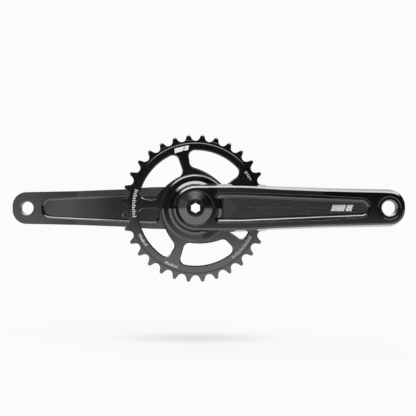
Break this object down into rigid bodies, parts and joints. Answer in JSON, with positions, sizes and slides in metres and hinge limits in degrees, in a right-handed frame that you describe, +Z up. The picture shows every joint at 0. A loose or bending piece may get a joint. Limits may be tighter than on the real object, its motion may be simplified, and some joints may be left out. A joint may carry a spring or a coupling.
{
  "type": "bicycle crankset",
  "caption": "Bicycle crankset: two black milled arms set opposite each other on a hollow splined spindle, with a direct-mount narrow-wide chainring on the drive side.",
  "frame": {"origin": "spindle axis at the bicycle's centre plane, midway along the bearing journal", "axes": "+X along the drive-side arm towards its pedal, which is forwards on the bicycle; +Y along the spindle from the drive side to the non-drive side; +Z up"},
  "size_m": [0.37, 0.17, 0.133],
  "materials": {
    "black_anodised": "black anodised, finely milled",
    "ring_black": "black anodised, satin",
    "cap_black": "black anodised, turned",
    "collar_black": "black anodised, satin",
    "spindle_steel": "hard anodised, ground journal",
    "bolt_steel": "black oxide",
    "washer_steel": "bare steel",
    "spacer_plastic": "moulded",
    "seal_rubber": "rubber"
  },
  "bodies": {
    "spindle": {"spindle": "spindle_steel", "drive_oring": "seal_rubber", "nondrive_oring": "seal_rubber"},
    "drive_arm": {"drive_arm": "black_anodised", "chainring": "ring_black", "chainring_bolt_1": "bolt_steel", "chainring_bolt_2": "bolt_steel", "chainring_bolt_3": "bolt_steel", "drive_spacer": "spacer_plastic", "drive_bolt_washer": "washer_steel", "drive_friction_washer": "spacer_plastic", "drive_extractor_ring": "cap_black"},
    "nondrive_arm": {"nondrive_arm": "black_anodised", "nondrive_bolt_washer": "washer_steel", "nondrive_friction_washer": "spacer_plastic", "nondrive_extractor_ring": "cap_black"},
    "drive_crank_bolt": {"drive_crank_bolt": "bolt_steel"},
    "nondrive_crank_bolt": {"nondrive_crank_bolt": "bolt_steel"},
    "thrust_washer": {"thrust_washer": "washer_steel"},
    "preload_collar": {"preload_collar": "collar_black", "preload_pinch_bolt": "bolt_steel"}
  },
  "joints": [
    {"name": "drive_arm_pull", "type": "slide", "parent": "spindle", "child": "drive_arm", "axis": [0, -1, 0], "range_m": [0, 0.1]},
    {"name": "nondrive_arm_pull", "type": "slide", "parent": "spindle", "child": "nondrive_arm", "axis": [0, 1, 0], "range_m": [0, 0.1]},
    {"name": "drive_bolt_turn", "type": "hinge", "parent": "drive_arm", "child": "drive_crank_bolt", "pos_m": [0, -0.067, 0], "axis": [0, -1, 0], "continuous": true},
    {"name": "nondrive_bolt_turn", "type": "hinge", "parent": "nondrive_arm", "child": "nondrive_crank_bolt", "pos_m": [0, 0.067, 0], "axis": [0, 1, 0], "continuous": true},
    {"name": "preload_travel", "type": "slide", "parent": "nondrive_arm", "child": "thrust_washer", "axis": [0, 1, 0], "range_m": [0, 0.0015]},
    {"name": "preload_collar_turn", "type": "hinge", "parent": "thrust_washer", "child": "preload_collar", "pos_m": [0, 0.0516, 0], "axis": [0, 1, 0], "range_deg": [0, 540]}
  ],
  "couplings": [
    {"joint": "preload_travel", "follows": "preload_collar_turn", "m_per_rad": 0.00015915}
  ]
}
